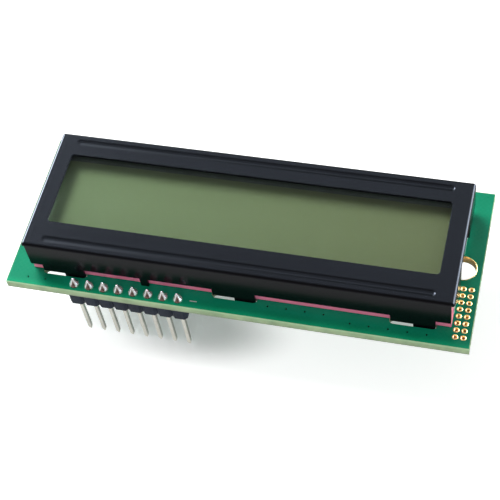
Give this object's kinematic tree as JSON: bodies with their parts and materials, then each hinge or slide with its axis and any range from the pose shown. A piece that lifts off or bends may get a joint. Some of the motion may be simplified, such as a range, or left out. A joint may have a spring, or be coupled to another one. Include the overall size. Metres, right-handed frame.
{
  "type": "lcd display board",
  "caption": "Small character display module: a liquid crystal cell in a folded black bezel on a green circuit board, with a row of header pins below one corner.",
  "frame": {"origin": "under the middle of the circuit board, level with the tips of the header pins", "axes": "+X along the board, away from the header; +Y to the long edge without the header; +Z out of the face of the display"},
  "size_m": [0.0766, 0.0298, 0.0214],
  "materials": {
    "laminate": "green solder mask over glass fibre laminate",
    "gold_plating": "thin gold over copper, bright",
    "board_ink": "printed white ink",
    "chip_terminal": "tinned end caps, bright",
    "bezel_paint": "black semi-gloss enamel on sheet steel",
    "polarizer": "clear grey-green film, smooth",
    "cell_glass": "clear soda-lime glass",
    "reflector": "olive grey reflective film, satin",
    "pink_rubber": "matte silicone rubber",
    "white_acrylic": "milky moulded acrylic",
    "diffuser": "frosted film",
    "tinned_wire": "tin over brass, softly bright",
    "solder": "reflowed solder, shiny",
    "header_plastic": "black glass-filled moulding",
    "black_resin": "black potting resin, softly glossy",
    "resistor_body": "black coated ceramic chip",
    "capacitor_body": "tan sintered ceramic"
  },
  "bodies": {
    "root": {"circuit_board": "laminate", "bezel": "bezel_paint", "front_polarizer": "polarizer", "front_glass": "cell_glass", "rear_glass": "cell_glass", "rear_polarizer": "reflector", "connector_strip_front": "pink_rubber", "connector_strip_back": "pink_rubber", "backlight_box": "white_acrylic", "diffuser_film": "diffuser", "backlight_leads": "tinned_wire", "backlight_solder_joints": "solder", "header_housing": "header_plastic", "header_pin_1": "tinned_wire", "header_pin_2": "tinned_wire", "header_pin_3": "tinned_wire", "header_pin_4": "tinned_wire", "header_pin_5": "tinned_wire", "header_pin_6": "tinned_wire", "header_pin_7": "tinned_wire", "header_pin_8": "tinned_wire", "header_solder_joints": "solder", "resin_dome_large": "black_resin", "resin_dome_small": "black_resin", "chip_resistors": "resistor_body", "chip_capacitors": "capacitor_body"}
  },
  "joints": []
}
